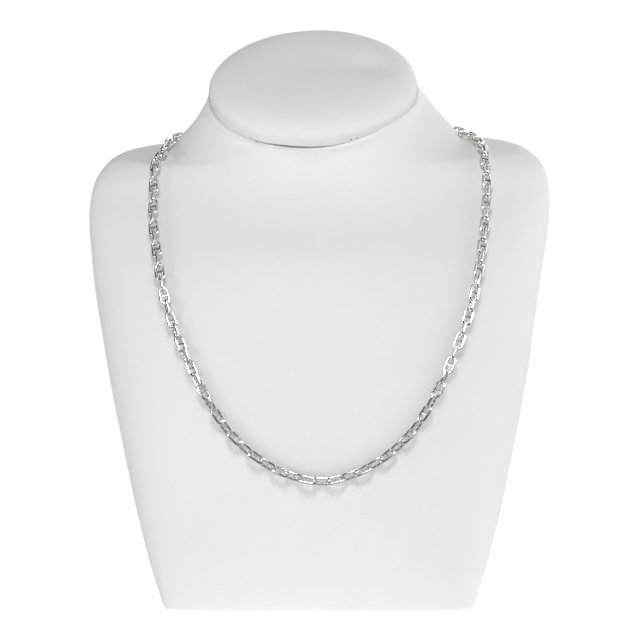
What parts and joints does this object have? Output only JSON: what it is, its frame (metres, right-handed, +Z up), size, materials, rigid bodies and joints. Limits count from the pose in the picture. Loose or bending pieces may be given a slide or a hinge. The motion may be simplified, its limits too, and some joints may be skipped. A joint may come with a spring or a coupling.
{
  "type": "mariner link chain necklace on neck bust display",
  "caption": "Closed necklace of oval barred links lying round a plain padded neck bust with a slanted top, resting on a flat base.",
  "frame": {"origin": "middle of the flat base that the bust stands on", "axes": "+Z up, the chest faces -Y, +X to the right of somebody facing the chest"},
  "size_m": [0.2086, 0.1314, 0.2627],
  "materials": {
    "silver": "polished silver",
    "leatherette": "fine-grained matt white leatherette, stretched",
    "cap_leatherette": "fine-grained matt white leatherette over a pad"
  },
  "bodies": {
    "root": {"mariner_links": "silver", "clasp": "silver", "bust_form": "leatherette", "neck_cap": "cap_leatherette"}
  },
  "joints": []
}
